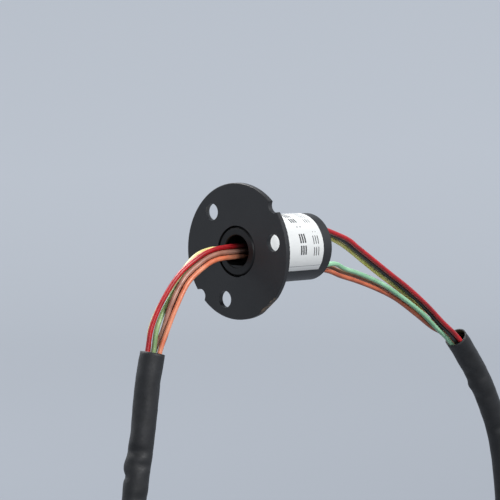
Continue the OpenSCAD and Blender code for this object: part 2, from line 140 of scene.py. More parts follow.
def makeGrainGroup():
    # fine bump over broad, soft unevenness, and the tone that goes with it
    group, given, result = newGroup(
        "surfaceGrain",
        [("Place", "Vector"), ("Grain per metre", "Float"), ("Patch per metre", "Float"),
         ("Height", "Float")],
        [("Tone", "Float"), ("Patch", "Float"), ("Normal", "Vector")])
    grain = addNode(group, "ShaderNodeTexNoise", {"Vector": given.outputs[0], "Scale": given.outputs[1],
                                                  "Detail": 3.0, "Roughness": 0.6})
    patch = addNode(group, "ShaderNodeTexNoise", {"Vector": given.outputs[0], "Scale": given.outputs[2],
                                                  "Detail": 2.0, "Roughness": 0.5})
    height = calc(group, "ADD", calc(group, "MULTIPLY", grain.outputs[0], 0.6), patch.outputs[0])
    bump = addNode(group, "ShaderNodeBump", {"Height": height, "Distance": given.outputs[3], "Strength": 1.0})
    group.links.new(grain.outputs[0], result.inputs[0])
    group.links.new(patch.outputs[0], result.inputs[1])
    group.links.new(bump.outputs[0], result.inputs[2])
    return group


def makeTurnedGroup():
    # rings round the spin axis, as a lathe tool leaves them
    group, given, result = newGroup(
        "turnedMarks", [("Place", "Vector"), ("Marks per metre", "Float"), ("Height", "Float")],
        [("Tone", "Float"), ("Normal", "Vector")])
    parts = addNode(group, "ShaderNodeSeparateXYZ", {0: given.outputs[0]})
    radius = calc(group, "SQRT", calc(group, "ADD", calc(group, "POWER", parts.outputs[0], 2.0),
                                      calc(group, "POWER", parts.outputs[2], 2.0)))
    along = calc(group, "ADD", radius, parts.outputs[1])
    marks = addNode(group, "ShaderNodeTexNoise", {"W": along, "Scale": given.outputs[1], "Detail": 2.0},
                    noise_dimensions="1D")
    bump = addNode(group, "ShaderNodeBump", {"Height": marks.outputs[0], "Distance": given.outputs[2],
                                             "Strength": 0.6})
    group.links.new(marks.outputs[0], result.inputs[0])
    group.links.new(bump.outputs[0], result.inputs[1])
    return group


def useGroup(tree, group, inputs):
    return addNode(tree, "ShaderNodeGroup", inputs, node_tree=group).outputs


grainGroup = makeGrainGroup()
turnedGroup = makeTurnedGroup()


# Plain finishes

def grainyFinish(name, dark, light, roughness, grain=9000, patch=120, height=0.00002, specular=0.5):
    material, tree, shader = blankMaterial(name)
    field = useGroup(tree, grainGroup, {"Place": usePlace(tree), "Grain per metre": grain,
                                        "Patch per metre": patch, "Height": height})
    tree.links.new(mixed(tree, between(tree, field["Patch"], 0, 1, 0.35, 0.65), dark, light),
                   shader.inputs["Base Color"])
    tree.links.new(between(tree, field["Tone"], *roughness, 0.3, 0.7), shader.inputs["Roughness"])
    tree.links.new(field["Normal"], shader.inputs["Normal"])
    shader.inputs["Specular IOR Level"].default_value = specular
    return material


def turnedFinish(name, dark, light, roughness, marks=9000, height=0.000004):
    material, tree, shader = blankMaterial(name)
    field = useGroup(tree, turnedGroup, {"Place": usePlace(tree), "Marks per metre": marks, "Height": height})
    tree.links.new(mixed(tree, field["Tone"], dark, light), shader.inputs["Base Color"])
    tree.links.new(between(tree, field["Tone"], *roughness, 0.3, 0.7), shader.inputs["Roughness"])
    tree.links.new(field["Normal"], shader.inputs["Normal"])
    shader.inputs["Metallic"].default_value = 1.0
    return material


# Leads: the centre line of each bundle and every wire's place in it, in millimetres until laid out

frontLead = {
    "body": "rotor", "planeX": -2.5, "away": -1, "fan": (1.9, 2.7),
    "line": [(-3, -0.5), (-10, -1), (-16, -3), (-23.5, -8), (-30, -15.5), (-34, -23), (-36.5, -30),
             (-39, -39), (-42, -58), (-45, -75), (-47, -100), (-48, -134), (-48.5, -180), (-49, -226)],
    "lay": {
        "red": [(1.9, 0.2), (1.7, 0.1), (1.7, 0), (2.1, -0.4), (2.3, -0.7), (2.3, -1.2), (1.7, -1.1),
                (1.6, -0.7)],
        "black": [(-1.7, -0.6), (-1.5, -0.5), (-1.5, -0.2), (-1.7, 0.2), (-2, 0.4), (-2.9, 0.5),
                  (-2.3, 0.3), (-2.1, 1)],
        "yellow": [(1.3, -1.6), (1.7, -1.6), (1.7, -1.8), (0.8, -1.7), (1.2, -2), (1.2, -2.7),
                   (0.3, -2.2), (0.2, -1.8)],
        "green": [(-0.4, -1.7), (0, -1.4), (-0.1, -1.4), (-0.9, -1.4), (-0.7, -1.5), (1.1, 0),
                  (0.5, 0.4), (0.4, 0.6)],
        "brown": [(0.3, 0.9), (0.3, 1), (0.2, 0.8), (0.4, 0.7), (0.2, 1.3), (-1.2, 0.4), (-0.9, -0.8),
                  (-1.1, -0.5)],
        "orange": [(-1.4, 1.1), (-1.4, 1.3), (-1.4, 1.6), (-1, 1.8), (-1.4, 2.3), (-1, 2.5), (-0.5, 2.1),
                   (-0.5, 2.2)],
    },
    "sleeve": [(-37, -30.3), (-39, -39), (-42, -58), (-45, -75), (-47, -100), (-48, -134)],
}
rearLead = {
    "body": "stator", "planeX": 0, "away": 1, "fan": (1.6, 2.3),
    "line": [(34.5, 0), (46, -3), (52, -5.5), (60, -8.5), (70, -13), (80, -18), (90, -24), (99, -30),
             (106, -35), (113.5, -41), (124, -54), (134, -74), (138.5, -100), (140, -126), (140, -155),
             (140, -188)],
    "lay": {
        "red": [(6.5, 2.1), (5.3, 3.1), (4.6, 2.9), (3.4, 2.4), (2.4, 2), (1.8, 1.9), (1.4, 1.8),
                (0.6, 2.1), (0.3, 2.8), (-0.3, 2.3)],
        "black": [(6.4, 0.3), (5.1, 0.8), (4.5, 0.6), (3.1, 0.3), (2.1, 0), (1.5, -0.1), (1.2, -0.1),
                  (0.2, 0.3), (-0.3, 1.1), (-1, 0.7)],
        "yellow": [(6.2, -1.5), (4.1, -0.8), (3.9, -1.3), (2.5, -1.6), (1.5, -2), (1.1, -2.1),
                   (1.5, -2.3), (1.8, -1.5), (1.7, -0.5), (1.6, -0.2)],
        "green": [(-6.9, 1.5), (-3.6, 0.2), (-3.2, -0.3), (-2.5, -0.2), (-1.7, 0), (-1.7, 0.2),
                  (-1.5, 0.4), (-1.7, 0.2), (-1.5, -0.1), (-2.2, -0.5)],
        "brown": [(-6.9, -2.1), (-4.5, -2.8), (-4, -2.8), (-3.1, -2.5), (-1.9, -2.4), (-0.8, -2.3),
                  (-0.7, -2.3), (0.3, -2.5), (1.9, -2.9), (1.3, -2.4)],
        "orange": [(-7.2, -0.3), (-6.2, -1.4), (-5.7, -1.5), (-4.9, -1.4), (-3.7, -1.3), (-2.7, -1.6),
                   (-2.6, -1), (-1.6, -1.9), (0, -1.8), (-0.5, -2)],
    },
    "sleeve": [(109, -35.6), (114, -41), (124, -54), (134, -74), (138.5, -100), (140, -126)],
}
wireSetup = {
    "diameter": 1.6, "tipDiameter": 1.0, "tipLength": 6,
    # the contact ring that each wire serves, and where it lies round the spindle's channel
    "ring": {"red": 1, "black": 3, "yellow": 5, "green": 2, "brown": 4, "orange": 6},
    "clock": {"red": 70, "black": 250, "yellow": 130, "green": 190, "brown": 10, "orange": 310},
    "channelRadius": 1.85, "channelFrom": 6.5, "lugDiameter": 0.8,
    # sideways place in the rear cap's slots
    "slot": {"red": 1.7, "black": 0, "yellow": -1.7, "green": 1.7, "brown": -1.7, "orange": 0},
    "slotHeight": 7,
    "boardSide": {"red": "upper", "black": "upper", "yellow": "upper",
                  "green": "lower", "brown": "lower", "orange": "lower"},
    "capInset": 0.2,
    # painted shade: how far it darkens, over how many mm and to what colour, where the wires go into the bore
    # or the cap
    "paintedShadeShare": 0.9, "paintedShadeReach": 1.8, "paintedShadeColour": paint(12, 10, 10),
}
wireColours = {
    "red": (paint(158, 14, 26), paint(206, 26, 34)),
    "black": (paint(20, 19, 20), paint(34, 32, 33)),
    "yellow": (paint(216, 202, 106), paint(244, 232, 156)),
    "green": (paint(140, 198, 156), paint(176, 232, 192)),
    "brown": (paint(146, 92, 74), paint(196, 142, 120)),
    "orange": (paint(222, 104, 66), paint(250, 150, 108)),
}
# painted light: wires whose tint on one side differs from the list above, lighter or darker to stand in for
# how the light falls on that side
frontPaintedLightTints = {
    "green": (paint(128, 160, 104), paint(162, 192, 132)),
    "brown": (paint(164, 110, 92), paint(212, 160, 140)),
    "orange": (paint(232, 124, 86), paint(252, 170, 132)),
    "yellow": (paint(226, 214, 140), paint(248, 240, 186)),
}
rearPaintedLightTints = {
    "yellow": (paint(226, 218, 120), paint(248, 240, 160)),
    "orange": (paint(186, 92, 62), paint(216, 116, 80)),
}


def unit(pair):
    size = math.hypot(*pair)
    return (pair[0] / size, pair[1] / size)


def laidOut(lead, colour):
    # the wire's points beside the bundle's centre line, fanned out at the last two
    line, lay, points = lead["line"], lead["lay"][colour], []
    for k, (y, z) in enumerate(line):
        before, after = line[max(k - 1, 0)], line[min(k + 1, len(line) - 1)]
        heading = (lead["away"], 0) if k == 0 else unit((after[0] - before[0], after[1] - before[1]))
        fan = lead["fan"][k - len(line)] if k >= len(line) - 2 else 1
        up, across = (fan * p for p in lay[min(k, len(lay) - 1)])
        points.append(Vector((lead["planeX"] + across, y - up * lead["away"] * heading[1],
                              z + up * lead["away"] * heading[0])) * mm)
    return points


def frontRoute(colour):
    clock = math.radians(wireSetup["clock"][colour])
    low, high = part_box(f"contact_ring_{wireSetup['ring'][colour]}")
    x, z = (wireSetup["channelRadius"] * mm * f(clock) for f in (math.cos, math.sin))
    start = [Vector((x, (low.y + high.y) / 2 + wireSetup["lugDiameter"] / 2 * mm, z)),
             Vector((x, wireSetup["channelFrom"] * mm, z))]
    return start + laidOut(frontLead, colour)


def rearRoute(colour):
    boardSide = wireSetup["boardSide"][colour]
    up = 1 if boardSide == "upper" else -1
    x, z = wireSetup["slot"][colour] * mm, up * wireSetup["slotHeight"] * mm
    start = [Vector((x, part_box(f"{boardSide}_board")[1].y, z)),
             Vector((x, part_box("housing")[1].y - wireSetup["capInset"] * mm, z))]
    return start + laidOut(rearLead, colour)


def makeWire(name, route, material):
    data = bpy.data.curves.new(name, "CURVE")
    data.dimensions = "3D"
    data.bevel_depth = wireSetup["diameter"] / 2 * mm
    data.bevel_resolution = 4
    data.resolution_u = 6
    data.use_fill_caps = True
    spline = data.splines.new("BEZIER")
    spline.bezier_points.add(len(route) - 1)
    for k, point in enumerate(route):
        reach = (route[min(k + 1, len(route) - 1)] - route[max(k - 1, 0)]) / 6
        knot = spline.bezier_points[k]
        knot.co = point
        knot.handle_left_type = knot.handle_right_type = "FREE"
        knot.handle_left, knot.handle_right = point - reach, point + reach
    data.materials.append(material)
    wire = bpy.data.objects.new(name, data)
    bpy.context.scene.collection.objects.link(wire)
    return wire


def insulation(name, side, dark, light):
    # painted shade: the colour darkens where the wire goes into the bore or the cap, standing in for the
    # shade there
    material, tree, shader = blankMaterial(name)
    place = usePlace(tree)
    field = useGroup(tree, grainGroup, {"Place": place, "Grain per metre": 2600,
                                        "Patch per metre": 160, "Height": 0.000005})
    plain = mixed(tree, between(tree, field["Patch"], 0, 1, 0.3, 0.7), dark, light)
    parts = addNode(tree, "ShaderNodeSeparateXYZ", {0: place})
    low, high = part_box("housing")
    edge, inward = (low.y, 1) if side == "front" else (high.y, -1)
    depth = calc(tree, "MULTIPLY", calc(tree, "SUBTRACT", parts.outputs[1], edge), inward)
    # painted shade inside the bore or the cap, mixed over the plain colour
    paintedShade = between(tree, depth, 0, wireSetup["paintedShadeShare"], 0, wireSetup["paintedShadeReach"] * mm)
    tree.links.new(mixed(tree, paintedShade, plain, wireSetup["paintedShadeColour"]), shader.inputs["Base Color"])
    tree.links.new(between(tree, field["Tone"], 0.34, 0.5, 0.3, 0.7), shader.inputs["Roughness"])
    tree.links.new(field["Normal"], shader.inputs["Normal"])
    shader.inputs["Coat Weight"].default_value = 0.15
    shader.inputs["Coat Roughness"].default_value = 0.3
    return material


print("leads: wires")
wires = {}
# each side's wires take that side's painted light tints where given
for side, lead, routeOf, paintedLightTints in (("front", frontLead, frontRoute, frontPaintedLightTints),
                                   ("rear", rearLead, rearRoute, rearPaintedLightTints)):
    for colour in lead["lay"]:
        route = routeOf(colour)
        finish = insulation(f"{side}{colour.title()}Insulation", side,
                            *paintedLightTints.get(colour, wireColours[colour]))
        wires[side, colour] = (makeWire(f"{side}{colour.title()}Lead", route, finish), route)


# Shrink sleeves over the bundles

sleeveSetup = {
    "diameter": 8.0, "wall": 0.4, "facets": 48, "step": 0.9, "lump": 0.22, "lumpsPerMetre": 210.0,
    # points a span of the tube's own line, and of the finer line that the folds are measured along
    "lineSteps": 12, "foldSteps": 24,
}
sleeveFolds = {
    # how far down from the mouth, degrees round it, depth (a bump if negative), half width along and
    # round, in mm
    "front": [(31, 60, 0.9, 1.4, 4.5), (34.5, 20, 0.6, 1.1, 4.0), (35.5, 130, -0.6, 2.2, 3.2),
              (38.6, 125, 0.6, 1.1, 3.0), (15, 75, 0.35, 5, 2.2), (9, -20, 0.3, 4, 1.8),
              (45, 0, 0.6, 1.4, 4.0), (24, 120, 0.3, 4, 2.0)],
    "rear": [(7, 40, 0.4, 4, 2.0), (14, 60, 0.6, 1.5, 4.0), (18, 20, 0.5, 1.3, 4.0), (26, 70, 0.6, 1.4, 4.0),
             (21, 130, -0.5, 1.5, 3.0), (40, 40, 0.6, 1.5, 4.5)],
}


def smoothLine(points, stepsPerSpan):
    smooth = []
    for k in range(len(points) - 1):
        a, b, c, d = (points[min(max(k + s, 0), len(points) - 1)] for s in (-1, 0, 1, 2))
        for step in range(stepsPerSpan):
            t = step / stepsPerSpan
            smooth.append(0.5 * (2 * b + (c - a) * t + (2 * a - 5 * b + 4 * c - d) * t * t
                                 + (3 * b - a - 3 * c + d) * t ** 3))
    return smooth + [points[-1]]


def makeSleeveTree():
    tree = bpy.data.node_groups.new("shrinkSleeve", "GeometryNodeTree")
    tree.interface.new_socket("Geometry", in_out="INPUT", socket_type="NodeSocketGeometry")
    for label, value in (("Radius", 0.004), ("Step", 0.0009), ("Lump", 0.0002), ("Seed", 0.0)):
        socket = tree.interface.new_socket(label, in_out="INPUT", socket_type="NodeSocketFloat")
        socket.default_value = value
    tree.interface.new_socket("Facets", in_out="INPUT", socket_type="NodeSocketInt").default_value = 48
    tree.interface.new_socket("Material", in_out="INPUT", socket_type="NodeSocketMaterial")
    tree.interface.new_socket("Geometry", in_out="OUTPUT", socket_type="NodeSocketGeometry")
    given, result = addNode(tree, "NodeGroupInput").outputs, addNode(tree, "NodeGroupOutput")
    line = addNode(tree, "GeometryNodeMeshToCurve", {"Mesh": given["Geometry"]})
    even = addNode(tree, "GeometryNodeResampleCurve", {"Curve": line.outputs[0], "Length": given["Step"]},
                   mode="LENGTH")
    ring = addNode(tree, "GeometryNodeCurvePrimitiveCircle", {"Resolution": given["Facets"],
                                                              "Radius": given["Radius"]})
    tube = addNode(tree, "GeometryNodeCurveToMesh", {"Curve": even.outputs[0],
                                                     "Profile Curve": ring.outputs[0]})
    place = addNode(tree, "GeometryNodeInputPosition")
    noise = addNode(tree, "ShaderNodeTexNoise", {
        "Vector": place.outputs[0], "W": given["Seed"], "Scale": sleeveSetup["lumpsPerMetre"],
        "Detail": 2.0, "Roughness": 0.45}, noise_dimensions="4D")
    swell = calc(tree, "MULTIPLY", calc(tree, "SUBTRACT", noise.outputs[0], 0.5), given["Lump"])
    normal = addNode(tree, "GeometryNodeInputNormal")
    push = addNode(tree, "ShaderNodeVectorMath", {0: normal.outputs[0]}, operation="SCALE")
    tree.links.new(calc(tree, "MULTIPLY", swell, 2.0), push.inputs["Scale"])
    moved = addNode(tree, "GeometryNodeSetPosition", {"Geometry": tube.outputs[0], "Offset": push.outputs[0]})
    smooth = addNode(tree, "GeometryNodeSetShadeSmooth", {"Geometry": moved.outputs[0]})
    whole = addNode(tree, "GeometryNodeRealizeInstances", {"Geometry": smooth.outputs[0]})
    coated = addNode(tree, "GeometryNodeSetMaterial", {"Geometry": whole.outputs[0],
                                                       "Material": given["Material"]})
    tree.links.new(coated.outputs[0], result.inputs[0])
    return tree


def runTree(source, tree, inputs, name):
    # the tree's result as a plain mesh object at the origin
    modifier = source.modifiers.new("nodes", "NODES")
    modifier.node_group = tree
    for item in tree.interface.items_tree:
        if item.in_out == "INPUT" and item.name in inputs:
            modifier[item.identifier] = inputs[item.name]
    depsgraph = bpy.context.evaluated_depsgraph_get()
    mesh = bpy.data.meshes.new_from_object(source.evaluated_get(depsgraph))
    bpy.data.objects.remove(source)
    mesh.name = name
    made = bpy.data.objects.new(name, mesh)
    bpy.context.scene.collection.objects.link(made)
    return made


def lineObject(points):
    mesh = bpy.data.meshes.new("line")
    mesh.from_pydata(points, [(k, k + 1) for k in range(len(points) - 1)], [])
    line = bpy.data.objects.new("line", mesh)
    bpy.context.scene.collection.objects.link(line)
    return line


def sleeveFinish():
    material, tree, shader = blankMaterial("shrinkSleeve")
    place = usePlace(tree)
    field = useGroup(tree, grainGroup, {"Place": place, "Grain per metre": 1500, "Patch per metre": 260,
                                        "Height": 0.00008})
    tree.links.new(mixed(tree, between(tree, field["Patch"], 0, 1, 0.3, 0.7), paint(12, 12, 13),
                         paint(28, 28, 30)), shader.inputs["Base Color"])
    tree.links.new(between(tree, field["Tone"], 0.5, 0.68, 0.3, 0.7), shader.inputs["Roughness"])
    tree.links.new(field["Normal"], shader.inputs["Normal"])
    return material


def creaseSleeve(mesh, points, folds):
    # dents and bumps where the sleeve was bent, each a soft oval on the wall
    line = smoothLine(points, sleeveSetup["foldSteps"])
    for down, clock, depth, halfAlong, halfRound in folds:
        k, run = 0, 0
        while run < down * mm:
            k += 1
            run += (line[k] - line[k - 1]).length
        heading = (line[k + 1] - line[k]).normalized()
        side = Vector((1, 0, 0))
        outward = side * math.cos(math.radians(clock)) + heading.cross(side) * math.sin(math.radians(clock))
        spot = line[k] + outward * sleeveSetup["diameter"] / 2 * mm
        for vertex in mesh.vertices:
            away = vertex.co - spot
            along = away.dot(heading)
            beside = (away - heading * along).length
            share = math.exp(-(along / (halfAlong * mm)) ** 2 - (beside / (halfRound * mm)) ** 2)
            vertex.co = vertex.co - outward * (depth * share * mm)


def makeSleeve(side, lead, tree, material):
    points = [Vector((lead["planeX"], y, z)) * mm for y, z in lead["sleeve"]]
    source = lineObject(smoothLine(points, sleeveSetup["lineSteps"]))
    sleeve = runTree(source, tree, {
        "Radius": sleeveSetup["diameter"] / 2 * mm, "Step": sleeveSetup["step"] * mm,
        "Lump": sleeveSetup["lump"] * mm, "Seed": 1.0 if side == "front" else 7.0,
        "Facets": sleeveSetup["facets"], "Material": material}, f"{side}ShrinkSleeve")
    creaseSleeve(sleeve.data, points, sleeveFolds[side])
    wall = sleeve.modifiers.new("wall", "SOLIDIFY")
    wall.thickness = sleeveSetup["wall"] * mm
    wall.offset = -1
    return sleeve


print("leads: sleeves")
sleeveTree = makeSleeveTree()
sleeveMaterial = sleeveFinish()
sleeves = {"front": makeSleeve("front", frontLead, sleeveTree, sleeveMaterial),
           "rear": makeSleeve("rear", rearLead, sleeveTree, sleeveMaterial)}


# Tinned ends: seven strands twisted together

strandSetup = {"strand": 0.32, "twist": 1.1, "around": 6}


def makeStrandTree():
    tree = bpy.data.node_groups.new("twistedStrands", "GeometryNodeTree")
    tree.interface.new_socket("Geometry", in_out="INPUT", socket_type="NodeSocketGeometry")
    for label in ("Length", "Strand radius", "Lay radius", "Turns"):
        tree.interface.new_socket(label, in_out="INPUT", socket_type="NodeSocketFloat")
    tree.interface.new_socket("Around", in_out="INPUT", socket_type="NodeSocketInt").default_value = 6
    tree.interface.new_socket("Material", in_out="INPUT", socket_type="NodeSocketMaterial")
    tree.interface.new_socket("Geometry", in_out="OUTPUT", socket_type="NodeSocketGeometry")
    given, result = addNode(tree, "NodeGroupInput").outputs, addNode(tree, "NodeGroupOutput")
    coil = addNode(tree, "GeometryNodeCurveSpiral", {
        "Resolution": 24, "Rotations": given["Turns"], "Start Radius": given["Lay radius"],
        "End Radius": given["Lay radius"], "Height": given["Length"]})
    spots = addNode(tree, "GeometryNodePoints", {"Count": given["Around"]})
    turn = calc(tree, "DIVIDE", calc(tree, "MULTIPLY", addNode(tree, "GeometryNodeInputIndex").outputs[0],
                                     math.tau), given["Around"])
    spin = addNode(tree, "ShaderNodeCombineXYZ", {"Z": turn})
    ringed = addNode(tree, "GeometryNodeInstanceOnPoints", {"Points": spots.outputs[0],
                                                            "Instance": coil.outputs[0],
                                                            "Rotation": spin.outputs[0]})
    top = addNode(tree, "ShaderNodeCombineXYZ", {"Z": given["Length"]})
    core = addNode(tree, "GeometryNodeCurvePrimitiveLine", {"End": top.outputs[0]})
    both = addNode(tree, "GeometryNodeJoinGeometry")
    tree.links.new(ringed.outputs[0], both.inputs[0])
    tree.links.new(core.outputs[0], both.inputs[0])
    curves = addNode(tree, "GeometryNodeRealizeInstances", {"Geometry": both.outputs[0]})
    circle = addNode(tree, "GeometryNodeCurvePrimitiveCircle", {"Resolution": 10,
                                                                "Radius": given["Strand radius"]})
    strands = addNode(tree, "GeometryNodeCurveToMesh", {"Curve": curves.outputs[0],
                                                        "Profile Curve": circle.outputs[0],
                                                        "Fill Caps": True})
    aim = addNode(tree, "GeometryNodeInputNamedAttribute", {"Name": "aim"}, data_type="FLOAT_VECTOR")
    facing = addNode(tree, "FunctionNodeAlignRotationToVector", {"Vector": aim.outputs[0]}, axis="Z")
    ends = addNode(tree, "GeometryNodeMeshToPoints", {"Mesh": given["Geometry"]})
    placed = addNode(tree, "GeometryNodeInstanceOnPoints", {"Points": ends.outputs[0],
                                                            "Instance": strands.outputs[0],
                                                            "Rotation": facing.outputs[0]})
    whole = addNode(tree, "GeometryNodeRealizeInstances", {"Geometry": placed.outputs[0]})
    smooth = addNode(tree, "GeometryNodeSetShadeSmooth", {"Geometry": whole.outputs[0]})
    coated = addNode(tree, "GeometryNodeSetMaterial", {"Geometry": smooth.outputs[0],
                                                       "Material": given["Material"]})
    tree.links.new(coated.outputs[0], result.inputs[0])
    return tree


def makeTips(side, tree, material):
    routes = [route for (end, _), (_, route) in wires.items() if end == side]
    mesh = bpy.data.meshes.new("ends")
    mesh.from_pydata([route[-1] for route in routes], [], [])
    aim = mesh.attributes.new("aim", "FLOAT_VECTOR", "POINT")
    for item, route in zip(aim.data, routes):
        item.vector = (route[-1] - route[-2]).normalized()
    source = bpy.data.objects.new("ends", mesh)
    bpy.context.scene.collection.objects.link(source)
    return runTree(source, tree, {
        "Length": wireSetup["tipLength"] * mm, "Strand radius": strandSetup["strand"] / 2 * mm,
        "Lay radius": (wireSetup["tipDiameter"] - strandSetup["strand"]) / 2 * mm,
        "Turns": strandSetup["twist"], "Around": strandSetup["around"], "Material": material},
        f"{side}TinnedEnds")


print("leads: tinned ends")
tinFinish = grainyFinish("tinnedCopper", paint(150, 150, 152), paint(196, 197, 198), (0.25, 0.45),
                         grain=3000, patch=400)
tinFinish.node_tree.nodes["Principled BSDF"].inputs["Metallic"].default_value = 1.0
strandTree = makeStrandTree()
tips = {side: makeTips(side, strandTree, tinFinish) for side in ("front", "rear")}


# Moulded housing, cap and spindle

housingSetup = {
    # the scuffed flat of the moulding gate: its bearing, distance from the axis, half width, and how far
    # in from the flat the scuff begins and is full, in degrees and millimetres
    "gateClock": -51, "gateFlat": 21.55, "gateHalfWidth": 4.6, "scuffFrom": 0.3, "scuffFull": 0.15,
    "scuffWaver": 0.8, "scuffGrain": 900.0, "scuffBreaks": (0.42, 0.6), "scuffDulls": 0.3,
    "dark": paint(22, 22, 24), "light": paint(31, 31, 33), "scuff": paint(150, 132, 112), "shine": 0.52,
    "roughness": (0.42, 0.56),
}


def mouldedHousing():
    material, tree, shader = blankMaterial("mouldedHousing")
    place = usePlace(tree)
    field = useGroup(tree, grainGroup, {"Place": place, "Grain per metre": 4200, "Patch per metre": 90,
                                        "Height": 0.00004})
    plain = mixed(tree, between(tree, field["Patch"], 0, 1, 0.3, 0.7), housingSetup["dark"],
                  housingSetup["light"])
    parts = addNode(tree, "ShaderNodeSeparateXYZ", {0: place})
    clock = math.radians(housingSetup["gateClock"])
    out = calc(tree, "ADD", calc(tree, "MULTIPLY", parts.outputs[0], math.cos(clock)),
               calc(tree, "MULTIPLY", parts.outputs[2], math.sin(clock)))
    across = calc(tree, "ADD", calc(tree, "MULTIPLY", parts.outputs[0], -math.sin(clock)),
                  calc(tree, "MULTIPLY", parts.outputs[2], math.cos(clock)))
    rough = addNode(tree, "ShaderNodeTexNoise", {"Vector": place, "Scale": housingSetup["scuffGrain"],
                                                 "Detail": 4.0})
    waver = calc(tree, "MULTIPLY", calc(tree, "SUBTRACT", rough.outputs[0], 0.5),
                 housingSetup["scuffWaver"] * mm)
    wavyOut = calc(tree, "ADD", out, waver)
    nearRim = between(tree, wavyOut, 0, 1, (housingSetup["gateFlat"] - housingSetup["scuffFrom"]) * mm,
                      (housingSetup["gateFlat"] - housingSetup["scuffFull"]) * mm)
    nearGate = between(tree, calc(tree, "ABSOLUTE", across), 1, 0, housingSetup["gateHalfWidth"] * mm * 0.8,
                       housingSetup["gateHalfWidth"] * mm)
    scuff = calc(tree, "MULTIPLY", calc(tree, "MULTIPLY", nearRim, nearGate),
                 between(tree, rough.outputs[0], 0, 1, *housingSetup["scuffBreaks"]))
    tree.links.new(mixed(tree, scuff, plain, housingSetup["scuff"]), shader.inputs["Base Color"])
    dulled = calc(tree, "ADD", between(tree, field["Tone"], *housingSetup["roughness"], 0.3, 0.7),
                  calc(tree, "MULTIPLY", scuff, housingSetup["scuffDulls"]))
    tree.links.new(dulled, shader.inputs["Roughness"])
    tree.links.new(field["Normal"], shader.inputs["Normal"])
    shader.inputs["Specular IOR Level"].default_value = housingSetup["shine"]
    return material


print("housing and moving parts")
ringCount = 6
dress(mouldedHousing(), "housing")
dress(grainyFinish("mouldedCap", paint(20, 20, 22), paint(30, 31, 33), (0.26, 0.36), 4200, 110), "rear_cap")
# the spindle's plastic is darker than the housing's: partly its own dark tone, partly painted shade for the
# bore
dress(grainyFinish("mouldedSpindle", paint(12, 12, 13), paint(19, 19, 20), (0.3, 0.44), 4200, 130,
                   specular=0.3),
      "rotor_spindle")
dress(grainyFinish("circuitBoard", paint(18, 70, 44), paint(30, 92, 58), (0.3, 0.45), 6000, 500),
      "upper_board", "lower_board")
dress(turnedFinish("ringGold", paint(206, 158, 70), paint(236, 196, 110), (0.18, 0.32)),
      *(f"contact_ring_{k}" for k in range(1, ringCount + 1)))
dress(grainyFinish("spacerPlastic", paint(196, 190, 172), paint(216, 210, 194), (0.4, 0.55), 5000, 300),
      *(f"spacer_{k}" for k in range(1, ringCount + 2)))
dress(turnedFinish("brushGold", paint(212, 164, 78), paint(240, 202, 120), (0.2, 0.34)),
      *(f"brush_{k}" for k in range(1, ringCount + 1)))
dress(turnedFinish("bearingSteel", paint(150, 152, 156), paint(186, 188, 190), (0.16, 0.3)),
      "front_outer_race", "front_inner_race", "rear_outer_race", "rear_inner_race")
dress(turnedFinish("ballSteel", paint(186, 188, 190), paint(214, 215, 216), (0.06, 0.12), 3000),
      "front_balls", "rear_balls")
dress(turnedFinish("cageBrass", paint(176, 140, 70), paint(206, 170, 96), (0.28, 0.42)),
      "front_cage", "rear_cage")
dress(turnedFinish("collarMetal", paint(138, 140, 144), paint(172, 174, 178), (0.28, 0.42)),
      "stack_collar", "snap_ring", "wave_washer")


# Label: white film printed with plain stripes and dots

labelSetup = {
    "film": (paint(236, 239, 239), paint(244, 246, 246)), "ink": paint(38, 38, 42),
    "line": paint(150, 153, 158),
    # printed fields of plain stripes: place along the axis, place round the body, tall, wide, the
    # stripes' pitch and the share of it that is inked, in mm
    "fields": [(18.2, -0.1, 3.1, 3.0, 1.05, 0.62), (18.2, 3.8, 3.1, 3.1, 1.05, 0.62),
               (17.8, 8.0, 0.5, 0.4, 2.0, 1.0), (19.3, 8.0, 0.5, 0.4, 2.0, 1.0),
               (18.0, 11.0, 3.0, 2.2, 1.05, 0.62), (18.0, 15.6, 3.0, 5.4, 1.05, 0.62),
               (24.3, -0.7, 3.1, 2.8, 1.05, 0.36), (24.3, 3.1, 3.1, 2.8, 1.05, 0.36),
               (23.9, 5.8, 0.3, 0.3, 2.0, 1.0), (25.1, 5.8, 0.3, 0.3, 2.0, 1.0),
               (24.2, 10.5, 2.4, 1.8, 1.05, 0.36), (24.2, 15.4, 2.4, 6.4, 1.05, 0.36)],
    "linePlace": -5.6, "lineWidth": 0.18, "skin": 0.02,
}


def makeFieldGroup():
    # a printed field: a box of plain stripes
    group, given, result = newGroup(
        "printedField", [("Along", "Float"), ("Around", "Float"), ("Middle along", "Float"),
                         ("Middle around", "Float"), ("Tall", "Float"), ("Wide", "Float"), ("Pitch", "Float"),
                         ("Share", "Float")], [("Ink", "Float")])
    along, around, middleAlong, middleAround, tall, wide, pitch, share = given.outputs[:8]
    inside = [calc(group, "LESS_THAN", calc(group, "ABSOLUTE", calc(group, "SUBTRACT", place, middle)),
                   calc(group, "MULTIPLY", size, 0.5))
              for place, middle, size in ((along, middleAlong, tall), (around, middleAround, wide))]
    step = calc(group, "FRACT", calc(group, "DIVIDE", calc(group, "SUBTRACT", along, middleAlong), pitch))
    shifted = calc(group, "FRACT", calc(group, "ADD", step, 0.5))
    offMiddle = calc(group, "ABSOLUTE", calc(group, "SUBTRACT", shifted, 0.5))
    inked = calc(group, "LESS_THAN", offMiddle, calc(group, "MULTIPLY", share, 0.5))
    both = calc(group, "MULTIPLY", inside[0], inside[1])
    group.links.new(calc(group, "MULTIPLY", both, inked), result.inputs[0])
    return group


